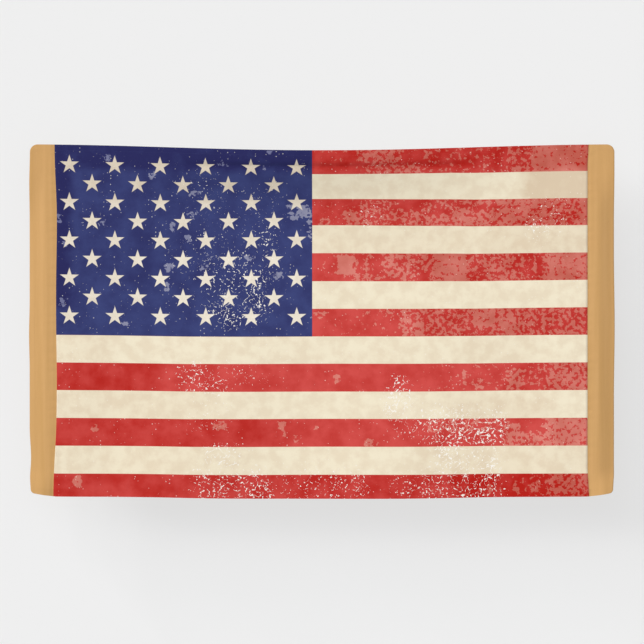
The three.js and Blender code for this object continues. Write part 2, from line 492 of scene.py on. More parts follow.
@dataclass(frozen=True)
class Wear:
    """Where the print has faded, where it has cracked down to the bare threads, where it is darker and where
    it is stained; the darker patches hold painted shade along the left seam.
    """

    layout: Layout = Layout()
    soft_edge: tuple[float, float] = (24.0, 9.0)  # widths across and down, in mm, of a fading edge
    cluster_edge: tuple[float, float] = (60.0, 60.0)
    cloud_edge: tuple[float, float] = (60.0, 30.0)
    edge_share: float = 0.7  # most of a small patch that its soft edge may take
    none: float = -4.0  # level at which nothing is worn
    least: float = 1e-4  # share taken as none
    most: float = 0.999  # share taken as all
    steepness: float = 1.7  # makes a logistic curve stand for a normal one

    def faded(self) -> list[Patch]:
        """Charts where the ink has thinned and the cloth shows through.

        Returns:
            The patches.
        """
        lay = self.layout
        return [
            *stripe_patches(
                lay, 1, (95, 205, 0, 0.5, 0.6), (115, 205, 0.4, 1, 0.45), (200, 265, 0.65, 1, 0.55),
                (263, 300, 0.05, 0.4, 0.45), (265, 480, 0, 1, 0.12), (480, 497, 0, 1, 0.62),
                (497, 545, 0, 0.7, 0.35), (497, 545, 0.7, 1, 0.6), (540, 700, 0, 1, 0.9),
            ),
            *stripe_patches(
                lay, 3, (-8, 22, 0.75, 1, 0.7), (57, 97, 0.4, 1, 0.72), (97, 205, 0.05, 1, 0.34),
                (200, 263, 0.4, 1, 0.5), (263, 337, 0.55, 1, 0.65), (263, 280, 0.1, 0.6, 0.5),
                (280, 456, 0, 0.4, 0.3), (337, 390, 0.3, 1, 0.76), (390, 456, 0.4, 1, 0.64),
                (456, 615, 0, 1, 0.72), (615, 670, 0, 1, 0.48), (668, 700, 0, 1, 0.95),
            ),
            *stripe_patches(
                lay, 5, (38, 88, 0.05, 0.75, 0.98), (75, 146, 0.72, 1, 0.55), (105, 130, 0, 0.6, 0.42),
                (157, 205, 0, 0.9, 0.6), (203, 248, 0, 1, 0.5), (248, 287, 0, 0.6, 0.62),
                (287, 386, 0, 1, 0.88), (386, 417, 0, 1, 0.38), (417, 508, 0, 1, 0.58),
                (508, 581, 0, 1, 0.26), (581, 700, 0, 1, 0.86),
            ),
            *stripe_patches(
                lay, 7, (-23, 12, 0.12, 0.34, 0.55), (105, 125, 0.12, 0.24, 0.6), (146, 205, 0.03, 0.2, 0.5),
                (203, 243, 0, 1, 0.58), (243, 276, 0.4, 1, 0.8), (243, 276, 0, 0.4, 0.5),
                (276, 386, 0, 1, 0.42), (386, 456, 0, 0.68, 0.86), (400, 456, 0.68, 1, 0.35),
                (456, 508, 0, 1, 0.8), (508, 563, 0, 1, 0.58), (563, 700, 0, 1, 0.43),
            ),
            *stripe_patches(
                lay, 9, (29, 47, 0.4, 0.7, 0.7), (300, 480, 0, 1, 0.06), (366, 380, 0.25, 0.72, 0.7),
                (398, 422, 0.6, 0.92, 0.62), (477, 528, 0.2, 1, 0.6), (535, 585, 0, 1, 0.22),
                (588, 700, 0, 1, 0.66),
            ),
            *stripe_patches(
                lay, 11, (-600, -584, 0.22, 0.5, 0.75), (-283, -271, 0.1, 0.35, 0.75),
                (-268, -250, 0.08, 0.42, 0.75), (-114, -96, 0.08, 0.4, 0.95), (-104, -93, 0.45, 0.62, 0.85),
                (-73, -61, 0.65, 0.85, 0.75), (-20, -8, 0.25, 0.4, 0.75), (112, 141, 0.75, 1, 0.7),
                (270, 460, 0, 0.5, 0.3), (477, 516, 0.15, 1, 0.76), (516, 578, 0.5, 1, 0.58),
                (578, 700, 0, 1, 0.8),
            ),
            *stripe_patches(
                lay, 13, (-646, -626, 0.05, 0.5, 0.97), (434, 443, 0.4, 0.75, 0.85),
                (499, 513, 0.3, 0.65, 0.85), (547, 569, 0.3, 0.7, 0.8), (500, 585, 0, 1, 0.08),
                (585, 700, 0, 1, 0.6),
            ),
            *boxes((-10, 780, -60, 560, 0.035), (250, 780, 560, 960, 0.03), (-780, -10, -60, 960, 0.004)),
            *spots(
                (-48, 176, 17, 16, 0.97), (-76, 186, 9, 13, 0.92), (-81, 161, 10, 6, 0.9),
                (-33, 206, 5, 13, 0.9), (-32, 238, 5, 10, 0.8), (-442, 76, 10, 8, 0.7),
                (-330, 122, 14, 8, 0.7), (-338, 178, 12, 7, 0.6), (-389, 212, 7, 10, 0.9),
                (-350, 243, 9, 9, 0.85), (-190, 294, 14, 6, 0.75), (-398, 318, 10, 12, 0.85),
                (-405, 370, 9, 10, 0.75), (-292, 290, 6, 10, 0.7), (-307, 316, 9, 8, 0.7),
                (-111, 340, 10, 10, 0.92), (-256, 42, 12, 5, 0.8), (-149, 52, 5, 6, 0.8),
                (-134, 8, 8, 6, 0.7), (-686, 195, 7, 12, 0.8), (-671, 260, 8, 8, 0.75),
                (-675, 412, 9, 11, 0.7), (-510, 466, 7, 6, 0.85), (-557, 30, 8, 8, 0.6),
                (-573, 202, 11, 8, 0.45),
            ),
        ]

    def cracked(self) -> list[Patch]:
        """Charts where the ink has flaked off in specks and short dashes.

        Returns:
            The patches.
        """
        return spots(
            # over the lower middle of the canton, thickest near its foot
            (-215, 380, 80, 72, 0.034), (-235, 330, 60, 50, 0.03), (-270, 425, 30, 24, 0.09),
            (-228, 452, 34, 20, 0.09), (-172, 395, 26, 48, 0.085), (-140, 255, 28, 55, 0.022),
            (-230, 260, 130, 160, 0.008), (-350, 300, 60, 60, 0.008), (-330, 95, 60, 45, 0.01),
            # below it
            (-330, 600, 36, 34, 0.07), (-275, 620, 28, 26, 0.065), (-210, 590, 60, 34, 0.016),
            (-300, 700, 60, 40, 0.02), (-262, 805, 44, 24, 0.09), (-235, 880, 95, 42, 0.06),
            (-170, 895, 34, 26, 0.11), (-60, 890, 110, 40, 0.02), (30, 880, 90, 45, 0.03),
            # a trail down the right middle
            (203, 625, 17, 24, 0.15), (200, 672, 34, 34, 0.14), (260, 735, 60, 26, 0.04),
            (345, 735, 75, 48, 0.1), (400, 745, 46, 42, 0.14), (450, 735, 26, 44, 0.15),
            (335, 805, 40, 44, 0.17), (400, 820, 50, 50, 0.05), (440, 845, 26, 36, 0.1),
            (345, 885, 90, 42, 0.066), (240, 885, 60, 36, 0.035), (420, 900, 50, 26, 0.055),
            # by the right seam
            (600, 190, 40, 55, 0.025), (560, 225, 26, 24, 0.07), (130, 190, 24, 26, 0.04),
        )

    def deep_and_shaded(self) -> list[Patch]:
        """Charts where the ink is darker and fuller, with painted shade along the left seam.

        Returns:
            The patches.
        """
        return boxes(
            # The first three darken the strip along the top; the fourth is painted shade along the left
            # seam.
            (-780, -20, -90, 62, 0.72), (-20, 480, -90, 62, 0.46), (480, 780, -90, 62, 0.6),
            (-780, -655, -60, 430, 0.95), (-780, -300, -60, 360, 0.16), (-780, -420, 560, 660, 0.35),
            (-780, -100, 700, 960, 0.3), (-20, 480, 125, 225, 0.26), (60, 480, 225, 300, 0.24),
            (250, 780, 270, 560, 0.36), (480, 780, 560, 720, 0.2), (480, 780, 125, 215, 0.5),
            (330, 780, 840, 990, 0.66), (-100, 330, 840, 990, 0.35),
        )

    def stained(self) -> list[Patch]:
        """Charts where the bare cloth is darker with dirt.

        Returns:
            The patches.
        """
        lay = self.layout
        return [
            *stripe_patches(lay, 2, (530, 780, 0, 1, 0.92)),
            *stripe_patches(lay, 4, (-20, 420, 0, 1, 0.2), (420, 780, 0, 1, 0.36)),
            *stripe_patches(lay, 8, (-780, -540, 0, 1, 0.12), (360, 560, 0, 1, 0.12)),
            *stripe_patches(lay, 10, (-780, -280, 0, 1, 0.18), (330, 600, 0.2, 1, 0.3)),
            *stripe_patches(lay, 12, (-780, -200, 0, 1, 0.12), (250, 780, 0, 1, 0.22)),
        ]

    def darker_stars(self) -> list[Patch]:
        """Charts where the stars are darker.

        Returns:
            The patches.
        """
        # darker towards the canton's top and left side
        return boxes(
            (-780, -20, -90, 150, 0.75), (-780, -20, 60, 260, 0.3), (-780, -480, 150, 560, 0.25)
        )

    def share(self, patches: list[Patch], u: Array, w: Array, edge: tuple[float, float]) -> Array:
        """The largest share that any patch gives at each point.

        Args:
            patches: the patches.
            u: places along the print, in metres.
            w: heights on the print, in metres.
            edge: widths across and down, in mm, over which a patch fades.

        Returns:
            A share from 0 to 1 for each point.
        """
        most = np.zeros_like(u)
        for p in patches:
            wide = self._inside(p.left, p.right, u / MM, edge[0])
            most = np.maximum(most, p.share * wide * self._inside(p.top, p.bottom, w / MM, edge[1]))
        return most

    def clouded(self, patches: list[Patch], u: Array, w: Array) -> Array:
        """The share of deeper colour at each point, with wide soft edges."""
        return self.share(patches, u, w, self.cloud_edge)

    def level(self, patches: list[Patch], u: Array, w: Array, edge: tuple[float, float]) -> Array:
        """How far the wear reaches up a noise of mean 0 and spread 1, above its level for no wear.

        Args:
            patches: the worn patches.
            u: places along the print, in metres.
            w: heights on the print, in metres.
            edge: widths across and down, in mm, over which a patch fades.

        Returns:
            A level for each point, 0 where nothing is worn.
        """
        share = np.clip(self.share(patches, u, w, edge), self.least, self.most)
        return np.maximum(np.log(share / (1 - share)) / self.steepness, self.none) - self.none

    def _inside(self, low: float, high: float, value: Array, edge: float) -> Array:
        """1 between low and high, falling to 0 over the soft edge around them."""
        soft = min(edge, (high - low) * self.edge_share)
        rise = smooth(low - soft / 2, low + soft / 2, value)
        return rise * (1 - smooth(high - soft / 2, high + soft / 2, value))


# ---------------------------------------------------------------------------------------------
# Finishes
# ---------------------------------------------------------------------------------------------


def new_material(name: str) -> tuple[bpy.types.Material, Tree]:
    """Makes an empty node material.

    Args:
        name: the material's name.

    Returns:
        The material, and its tree.
    """
    material = bpy.data.materials.new(name)
    material.use_nodes = True
    material.node_tree.nodes.clear()
    return material, material.node_tree


@dataclass(frozen=True)
class Weave:
    """A plain weave, as bump. Its thread is drawn about three times as coarse as the real one."""

    thread: float = 1.3 * MM
    relief: float = 0.05 * MM
    rumple: float = 1.0 * MM
    rumple_length: float = 38 * MM
    rumple_detail: float = 3.0

    def normal(self, tree: Tree, place: Socket) -> Socket:
        """Adds the weave and a faint rumple to a tree.

        Args:
            tree: the material's tree.
            place: coordinates on the cloth, in metres.

        Returns:
            The normal that the bump gives.
        """
        heights = []
        scale = math.pi / 10 / (2 * self.thread)  # a wave repeats every pi / 10 / scale: two threads
        for axis in ("X", "Y"):
            threads = add_node(
                tree, "ShaderNodeTexWave", {"Vector": place, "Scale": scale}, out="Fac",
                bands_direction=axis, wave_profile="SIN",
            )
            heights.append(
                add_node(tree, "ShaderNodeMath", {0: threads, 1: self.relief}, operation="MULTIPLY")
            )
        height = add_node(tree, "ShaderNodeMath", {0: heights[0], 1: heights[1]}, operation="ADD")
        folds = add_node(
            tree, "ShaderNodeTexNoise",
            {"Vector": place, "Scale": 1 / self.rumple_length, "Detail": self.rumple_detail}, out="Fac",
        )
        height = add_node(
            tree, "ShaderNodeMath", {0: folds, 1: self.rumple, 2: height}, operation="MULTIPLY_ADD"
        )
        return add_node(
            tree, "ShaderNodeBump", {"Strength": 1.0, "Distance": 1.0, "Height": height}, out="Normal"
        )


@dataclass(frozen=True)
class Grain:
    """A noise that clouds and wear follow. Its mean and spread are those of Blender's own noise."""

    length: float
    shift: float  # moves the pattern, so that no two are alike
    detail: float = 4
    roughness: float = 0.55
    mean: float = 0.5
    spread: float = 0.07

    def noise(self, tree: Tree, place: Socket) -> Socket:
        """Adds the noise to a tree.

        Args:
            tree: the material's tree.
            place: coordinates on the cloth, in metres.

        Returns:
            The noise.
        """
        moved = add_node(
            tree, "ShaderNodeVectorMath", {0: place, 1: (self.shift, self.shift, 0)}, operation="ADD"
        )
        return add_node(
            tree, "ShaderNodeTexNoise",
            {"Vector": moved, "Scale": 1 / self.length, "Detail": self.detail, "Roughness": self.roughness},
            out="Fac",
        )


@dataclass(frozen=True)
class Cloud:
    """Soft clouds of a deeper colour."""

    grain: Grain
    reach: float  # spreads of the noise from its mean to the darkest cloud: fewer give harder edges
    height: float  # share of the deeper colour in the darkest cloud

    def share(self, tree: Tree, place: Socket, attribute: str) -> Socket:
        """Adds the clouds to a tree.

        Args:
            tree: the material's tree.
            place: coordinates on the cloth, in metres.
            attribute: holds the share added where a patch is deeper.

        Returns:
            The share of the deeper colour.
        """
        grain = self.grain
        low, high = grain.mean - self.reach * grain.spread, grain.mean + self.reach * grain.spread
        cloud = add_node(
            tree, "ShaderNodeMapRange", {0: grain.noise(tree, place), 1: low, 2: high, 4: self.height},
            interpolation_type="SMOOTHSTEP",
        )
        more = add_node(tree, "ShaderNodeAttribute", attribute_name=attribute, out="Fac")
        return add_node(tree, "ShaderNodeMath", {0: cloud, 1: more}, operation="ADD", use_clamp=True)


@dataclass(frozen=True)
class Cloth:
    """Plain-woven polyester: matt, with hardly any gloss and the faintest bloom at a grazing angle."""

    weave: Weave = Weave()
    roughness: float = 0.85
    specular: float = 0.15
    sheen: float = 0.05
    sheen_roughness: float = 0.6

    def shade(self, tree: Tree, place: Socket, colour: Socket) -> None:
        """Adds the cloth's surface and the output to a tree.

        Args:
            tree: the material's tree.
            place: coordinates on the cloth, in metres.
            colour: the cloth's colour.
        """
        shader = add_node(
            tree, "ShaderNodeBsdfPrincipled",
            {
                "Base Color": colour, "Roughness": self.roughness, "Specular IOR Level": self.specular,
                "Normal": self.weave.normal(tree, place), "Sheen Weight": self.sheen,
                "Sheen Roughness": self.sheen_roughness,
            },
        )
        add_node(tree, "ShaderNodeOutputMaterial", {"Surface": shader})


@dataclass(frozen=True)
class PrintedCloth(Cloth):
    """Plain-woven polyester, dye printed: matt and even, with a distressed stars-and-stripes print and
    painted shade along the left seam.
    """

    layout: Layout = Layout()
    # The deep colours come in with the clouds and with the charted darker patches, so they also give the
    # painted shade along the left seam.
    red_light: str = "#D44F4A"
    red_deep: str = "#B51A10"
    blue_light: str = "#3A4378"
    blue_deep: str = "#25265A"
    cream_light: str = "#F2E7CD"
    cream_deep: str = "#DDC9AD"
    star_light: str = "#EFE6D5"
    star_deep: str = "#D6C8B4"
    faded_red_light: str = "#DD8478"
    faded_red_deep: str = "#BF5B4D"
    faded_blue_light: str = "#9293AA"
    faded_blue_deep: str = "#6E7093"
    bare: str = "#FAF5EC"
    plain_back: str = "#EDE3CF"
    ink_cloud: Cloud = Cloud(Grain(55 * MM, shift=0), reach=3.0, height=0.56)
    cloth_cloud: Cloud = Cloud(Grain(34.1 * MM, shift=3), reach=2.1, height=0.42)
    star_cloud: Cloud = Cloud(Grain(22 * MM, shift=6), reach=3.0, height=0.3)
    blotch: Grain = Grain(11 * MM, shift=11, roughness=0.58, spread=0.0684)
    # The flakes' mean and spread take in the lift that they get along the branches.
    flake: Grain = Grain(6.6 * MM, shift=29, detail=2, roughness=0.6, mean=0.543, spread=0.1067)
    branch: Grain = Grain(17 * MM, shift=31, detail=2, roughness=0.5)  # its lines gather the flakes
    crowd: Grain = Grain(55 * MM, shift=41, detail=2, roughness=0.5)  # gathers the pinholes
    branch_half: float = 0.035  # how near to such a line counts
    branch_lift: float = 0.25
    worn_edge: float = 0.12  # half the soft edge of a worn spot, in spreads of its noise
    pinhole_cell: float = 9 * MM
    pinhole: float = 1.5 * MM
    pinhole_light: float = 0.5
    pinhole_crowding: float = 1.2
    pinhole_chance: tuple[float, float] = (1.4, 1.7)  # where the holes start, and where they are full size
    pinhole_edge: float = 0.03
    ink_edge: float = 0.7 * MM
    back_show: float = 0.22  # how much of the print shows on the back

    def build(self, side: Side) -> bpy.types.Material:
        """The material of one face of the printed cloth.

        Args:
            side: the printed face, or the plain back where the print only shows through.

        Returns:
            The new material.
        """
        material, tree = new_material(f"dye_printed_polyester_{side.value}")
        place = add_node(tree, "ShaderNodeAttribute", attribute_name=PLACE, out="Vector")
        colour = self._print(tree, place)
        if side is Side.BACK:
            colour = add_node(
                tree, "ShaderNodeMix", {0: self.back_show, 6: linear(self.plain_back), 7: colour}, out=2,
                data_type="RGBA",
            )
        self.shade(tree, place, colour)
        return material

    def _print(self, tree: Tree, place: Socket) -> Socket:
        """Adds the print, with its clouds, fading and cracks.

        Args:
            tree: the material's tree.
            place: coordinates on the print, in metres.

        Returns:
            The print's colour.
        """
        u = add_node(tree, "ShaderNodeSeparateXYZ", {0: place}, out="X")
        w = u.node.outputs["Y"]
        # the ink share also takes in the charted darker patches, among them painted shade along the left
        # seam
        ink_and_shade = self.ink_cloud.share(tree, place, "deep_and_shaded")
        cloth = self.cloth_cloud.share(tree, place, "stained")
        star = self.star_cloud.share(tree, place, "darker_stars")
        colours = {"bare": linear(self.bare)}
        for name, share, light, dark in (
            ("red", ink_and_shade, self.red_light, self.red_deep),
            ("blue", ink_and_shade, self.blue_light, self.blue_deep),
            ("cream", cloth, self.cream_light, self.cream_deep),
            ("star", star, self.star_light, self.star_deep),
            ("faded_red", ink_and_shade, self.faded_red_light, self.faded_red_deep),
            ("faded_blue", ink_and_shade, self.faded_blue_light, self.faded_blue_deep),
        ):
            colours[name] = add_node(
                tree, "ShaderNodeMix", {0: share, 6: linear(light), 7: linear(dark)}, out=2, data_type="RGBA"
            )
        faded = self._worn(tree, self.blotch.noise(tree, place), "faded", self.blotch)
        for under, share, over in (
            ("red", faded, "faded_red"),
            ("blue", faded, "faded_blue"),
            ("cream", self._stripes(tree, w), "red"),
            ("blue", self._stars(tree, u, w), "star"),
            ("cream", self._canton(tree, u, w), "blue"),
            ("cream", self._bare(tree, place), "bare"),
        ):
            colours[under] = add_node(
                tree, "ShaderNodeMix", {0: share, 6: colours[under], 7: colours[over]}, out=2,
                data_type="RGBA",
            )
        return colours["cream"]

    def _worn(self, tree: Tree, noise: Socket, attribute: str, grain: Grain) -> Socket:
        """Adds ragged spots.

        Args:
            tree: the material's tree.
            noise: the noise that the spots follow.
            attribute: holds the wear level, which says how many spots there are.
            grain: gives the mean and spread of the noise.

        Returns:
            1 in the spots and 0 between them.
        """
        level = add_node(tree, "ShaderNodeAttribute", attribute_name=attribute, out="Fac")
        raised = add_node(
            tree, "ShaderNodeMath", {0: level, 1: grain.spread, 2: noise}, operation="MULTIPLY_ADD"
        )
        edge = grain.mean - Wear.none * grain.spread
        soft = self.worn_edge * grain.spread
        return add_node(
            tree, "ShaderNodeMapRange", {0: raised, 1: edge - soft, 2: edge + soft},
            interpolation_type="SMOOTHSTEP",
        )

    def _bare(self, tree: Tree, place: Socket) -> Socket:
        """Adds the flakes, which gather along branching lines, and the pinholes.

        Args:
            tree: the material's tree.
            place: coordinates on the print, in metres.

        Returns:
            1 where the bare threads show.
        """
        away = add_node(
            tree, "ShaderNodeMath", {0: self.branch.noise(tree, place), 1: self.branch.mean},
            operation="SUBTRACT",
        )
        away = add_node(tree, "ShaderNodeMath", {0: away}, operation="ABSOLUTE")
        near = add_node(
            tree, "ShaderNodeMapRange", {0: away, 1: self.branch_half, 2: 0.0, 3: 0.0, 4: self.branch_lift}
        )
        flaking = add_node(
            tree, "ShaderNodeMath", {0: self.flake.noise(tree, place), 1: near}, operation="ADD"
        )
        flakes = self._worn(tree, flaking, "cracked", self.flake)
        cells = add_node(
            tree, "ShaderNodeTexVoronoi", {"Vector": place, "Scale": 1 / self.pinhole_cell}, out="Distance",
            voronoi_dimensions="2D",
        )
        chance = add_node(tree, "ShaderNodeSeparateColor", {0: cells.node.outputs["Color"]}, out=0)
        chance = add_node(
            tree, "ShaderNodeMath", {0: self.crowd.noise(tree, place), 1: self.pinhole_crowding, 2: chance},
            operation="MULTIPLY_ADD",
        )
        start, full = self.pinhole_chance
        largest = self.pinhole / self.pinhole_cell
        radius = add_node(tree, "ShaderNodeMapRange", {0: chance, 1: start, 2: full, 3: 0.0, 4: largest})
        outside = add_node(tree, "ShaderNodeMath", {0: cells, 1: radius}, operation="SUBTRACT")
        pinholes = add_node(
            tree, "ShaderNodeMapRange",
            {0: outside, 1: 0.0, 2: -self.pinhole_edge, 3: 0.0, 4: self.pinhole_light},
        )
        return add_node(tree, "ShaderNodeMath", {0: flakes, 1: pinholes}, operation="MAXIMUM")

    def _step(self, tree: Tree, value: Socket, below: float) -> Socket:
        """Adds a bound, with a soft edge as wide as the ink's.

        Args:
            tree: the material's tree.
            value: what is compared with the bound.
            below: the bound.

        Returns:
            1 where the value is below the bound.
        """
        return add_node(
            tree, "ShaderNodeMapRange", {0: value, 1: below + self.ink_edge, 2: below - self.ink_edge},
            interpolation_type="SMOOTHSTEP",
        )

    def _stripes(self, tree: Tree, w: Socket) -> Socket:
        """Adds the stripes.

        Args:
            tree: the material's tree.
            w: height on the print.

        Returns:
            1 on the red stripes.
        """
        lay = self.layout
        first_middle = lay.first_stripe - lay.stripe / 2
        from_first = add_node(tree, "ShaderNodeMath", {0: w, 1: first_middle}, operation="SUBTRACT")
        from_red = add_node(tree, "ShaderNodeMath", {0: from_first, 1: lay.stripe}, operation="PINGPONG")
        return self._step(tree, from_red, lay.stripe / 2)

    def _canton(self, tree: Tree, u: Socket, w: Socket) -> Socket:
        """Adds the canton.

        Args:
            tree: the material's tree.
            u: place along the print.
            w: height on the print.

        Returns:
            1 on the blue field.
        """
        beside = self._step(tree, u, self.layout.canton_edge)
        above = self._step(tree, w, self.layout.canton_bottom)
        return add_node(tree, "ShaderNodeMath", {0: beside, 1: above}, operation="MULTIPLY")

    def _stars(self, tree: Tree, u: Socket, w: Socket) -> Socket:
        """Adds the stars: five rows of six, and between them four rows of five.

        Args:
            tree: the material's tree.
            u: place along the print.
            w: height on the print.

        Returns:
            1 on the stars.
        """
        lay = self.layout
        six = self._lattice(tree, u, w, (lay.first_star, lay.first_row), (5, 4))
        between = (lay.first_star + lay.star_pitch / 2, lay.first_row + lay.row_pitch)
        five = self._lattice(tree, u, w, between, (4, 3))
        return add_node(tree, "ShaderNodeMath", {0: six, 1: five}, operation="MAXIMUM")

    def _lattice(
        self, tree: Tree, u: Socket, w: Socket, first: tuple[float, float], last: tuple[int, int]
    ) -> Socket:
        """Adds one lattice of stars.

        Args:
            tree: the material's tree.
            u: place along the print.
            w: height on the print.
            first: place and height of the first star.
            last: numbers of the last column and row, counted from 0.

        Returns:
            1 on the stars.
        """
        lay = self.layout
        offsets = []
        for axis, along, pitch in ((0, u, lay.star_pitch), (1, w, 2 * lay.row_pitch)):
            from_first = add_node(tree, "ShaderNodeMath", {0: along, 1: first[axis]}, operation="SUBTRACT")
            count = add_node(tree, "ShaderNodeMath", {0: from_first, 1: pitch}, operation="DIVIDE")
            count = add_node(tree, "ShaderNodeMath", {0: count}, operation="ROUND")
            count = add_node(tree, "ShaderNodeClamp", {0: count, 1: 0.0, 2: float(last[axis])})
            from_nearest = {0: count, 1: -pitch, 2: from_first}
            offsets.append(add_node(tree, "ShaderNodeMath", from_nearest, operation="MULTIPLY_ADD"))
        across, down = offsets
        up = add_node(tree, "ShaderNodeMath", {0: down, 1: -1.0}, operation="MULTIPLY")
        offset = add_node(tree, "ShaderNodeCombineXYZ", {0: across, 1: up})
        radius = add_node(tree, "ShaderNodeVectorMath", {0: offset}, out="Value", operation="LENGTH")
        turn = add_node(tree, "ShaderNodeMath", {0: across, 1: up}, operation="ARCTAN2")
        fold = math.radians(36)  # from a star's point to the notch beside it
        folded = add_node(tree, "ShaderNodeMath", {0: turn, 1: fold}, operation="PINGPONG")
        to_side = add_node(tree, "ShaderNodeMath", {0: 2 * fold, 1: folded}, operation="SUBTRACT")
        share = add_node(tree, "ShaderNodeMath", {0: to_side}, operation="COSINE")
        reach = add_node(tree, "ShaderNodeMath", {0: radius, 1: share}, operation="MULTIPLY")
        return self._step(tree, reach, lay.star * math.cos(2 * fold))


@dataclass(frozen=True)
class TanCloth(Cloth):
    """Plain-woven polyester, piece dyed tan: matt, with soft upright streaks of painted shade and highlight
    standing in for the shading of its rolls.
    """

    # The light tan, and the darker tan of the painted shade; upright noise streaks mix them.
    light: str = "#D3A56C"
    deep_and_shaded: str = "#C99C62"
    painted_shade_streaks: tuple[float, float, float] = (60.0, 2.0, 0.0)  # painted shade streaks a metre, across and down
    painted_shade_range: tuple[float, float] = (0.3, 0.7)  # of the noise, from the light tan to the painted-shade tan
    painted_shade_detail: float = 3.0

    def build(self) -> bpy.types.Material:
        """Makes the material of the end bands.

        Returns:
            The new material.
        """
        material, tree = new_material("piece_dyed_polyester_tan_painted_shade")
        place = add_node(tree, "ShaderNodeAttribute", attribute_name=PLACE, out="Vector")
        # stretches the noise into upright streaks of painted shade and highlight
        drawn = add_node(tree, "ShaderNodeVectorMath", {0: place, 1: self.painted_shade_streaks}, operation="MULTIPLY")
        noise = add_node(
            tree, "ShaderNodeTexNoise", {"Vector": drawn, "Scale": 1.0, "Detail": self.painted_shade_detail},
            out="Fac",
        )
        low, high = self.painted_shade_range
        share = add_node(tree, "ShaderNodeMapRange", {0: noise, 1: low, 2: high})
        colour = add_node(
            tree, "ShaderNodeMix", {0: share, 6: linear(self.light), 7: linear(self.deep_and_shaded)}, out=2,
            data_type="RGBA",
        )
        self.shade(tree, place, colour)
        return material


@dataclass(frozen=True)
class Paint:
    """Matt emulsion paint on a wall or floor: pale, even and without gloss."""

    name: str
    colour: str
    one_sided: bool = False

    def build(self) -> bpy.types.Material:
        """Makes the paint, seen only from its front where it is one-sided.

        Returns:
            The new material.
        """
        material, tree = new_material(self.name)
        shader = add_node(tree, "ShaderNodeBsdfDiffuse", {"Color": linear(self.colour)})
        if self.one_sided:
            behind = add_node(tree, "ShaderNodeNewGeometry", out="Backfacing")
            clear = add_node(tree, "ShaderNodeBsdfTransparent")
            shader = add_node(tree, "ShaderNodeMixShader", {0: behind, 1: shader, 2: clear})
        add_node(tree, "ShaderNodeOutputMaterial", {"Surface": shader})
        return material


# ---------------------------------------------------------------------------------------------
# The pieces
# ---------------------------------------------------------------------------------------------


@dataclass
class Sheet:
    """A closed sheet of cloth between two edges, hemmed where it is thicker, on the hung shape."""

    name: str
    left: Callable[[Array], Array]
    right: Callable[[Array], Array]
    hang: Hang
    layout: Layout
    spacing: float
    thickness: Callable[[Array, Array], Array]
    sink: Callable[[Array, Array], Array]
    top_rows: int = 8  # over a rounded top corner
    bottom_rows: int = 7
    below_corner: float = 1.5 * MM  # from the top corners down to the even rows
    above_hem: float = 2.5 * MM  # from the even rows down to the bottom hem

    def rows(self) -> Array:
        """Places the mesh's rows: evenly, and closer over the corners and the hems' steps.

        Returns:
            Their heights, from the top edge down.
        """
        cut = self.hang.cut
        corner = cut.top_corner * (1 - np.cos(np.linspace(0, math.pi / 2, self.top_rows)))
        steps = [cut.hem, cut.hem + cut.hem_step, cut.top_corner + self.below_corner]
        top = np.unique(np.round(np.concatenate([corner[:-1], steps]), 6))  # no two within a micrometre
        hem = cut.height - cut.hem
        end = hem - self.above_hem
        field = np.linspace(top[-1], end, round((end - top[-1]) / self.spacing) + 1)[1:]
        low = cut.height - cut.bottom_corner * (1 - np.sin(np.linspace(0, math.pi / 2, self.bottom_rows)))
        return np.concatenate([top, field, [hem - cut.hem_step, hem], low])

    def build(self, materials: dict[Side, bpy.types.Material]) -> bpy.types.Object:
        """Makes the sheet.

        Args:
            materials: the finish of each face.

        Returns:
            The piece, with its place in its mesh and the print's place in an attribute.
        """
        rows = self.rows()
        left, right = self.left(rows), self.right(rows)
        columns = round(float(np.max(right - left)) / self.spacing)
        share = np.linspace(0, 1, columns + 1)
        u = left[:, None] + (right - left)[:, None] * share[None, :]
        v = np.repeat(rows[:, None], columns + 1, axis=1)
        middle, normal = self.hang.point(u, v), self.hang.normal(u, v)
        front = self.hang.cut.hemmed / 2 - self.sink(u, v)
        back = front - self.thickness(u, v)
        faces = [(middle + normal * depth[..., None]).reshape(-1, 3) for depth in (front, back)]
        per_side = u.size
        index = np.arange(per_side).reshape(u.shape)
        a, b, c, d = index[:-1, :-1], index[1:, :-1], index[1:, 1:], index[:-1, 1:]
        front_quads = np.stack([a, b, c, d], -1).reshape(-1, 4)
        back_quads = np.stack([a, d, c, b], -1).reshape(-1, 4) + per_side
        rim = np.concatenate([index[:, 0], index[-1, 1:], index[-2::-1, -1], index[0, -2:0:-1]])
        following = np.roll(rim, -1)
        rim_quads = np.stack([rim, rim + per_side, following + per_side, following], -1)
        quads = np.concatenate([front_quads, back_quads, rim_quads])
        mesh = bpy.data.meshes.new(self.name)
        mesh.from_pydata(np.concatenate(faces).tolist(), [], quads.tolist())
        slots = np.zeros(len(quads), np.int32)
        slots[len(front_quads) : len(front_quads) + len(back_quads)] = 1
        for side in Side:
            mesh.materials.append(materials[side])
        mesh.polygons.foreach_set("material_index", slots)
        mesh.polygons.foreach_set("use_smooth", np.ones(len(quads), bool))
        place = self.layout.place(u, v, self.hang.cut.height).reshape(-1, 3)
        store(mesh, PLACE, np.concatenate([place, place]))
        mesh.update()
        return add_object(self.name, mesh)


def mark(piece: bpy.types.Object, node: str) -> None:
    """Declares a sheet to the frame.

    Args:
        piece: the sheet.
        node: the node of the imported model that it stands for.
    """
    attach(piece, "root")
    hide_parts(node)
    LOG.info("%s: %d faces", piece.name, len(piece.data.polygons))


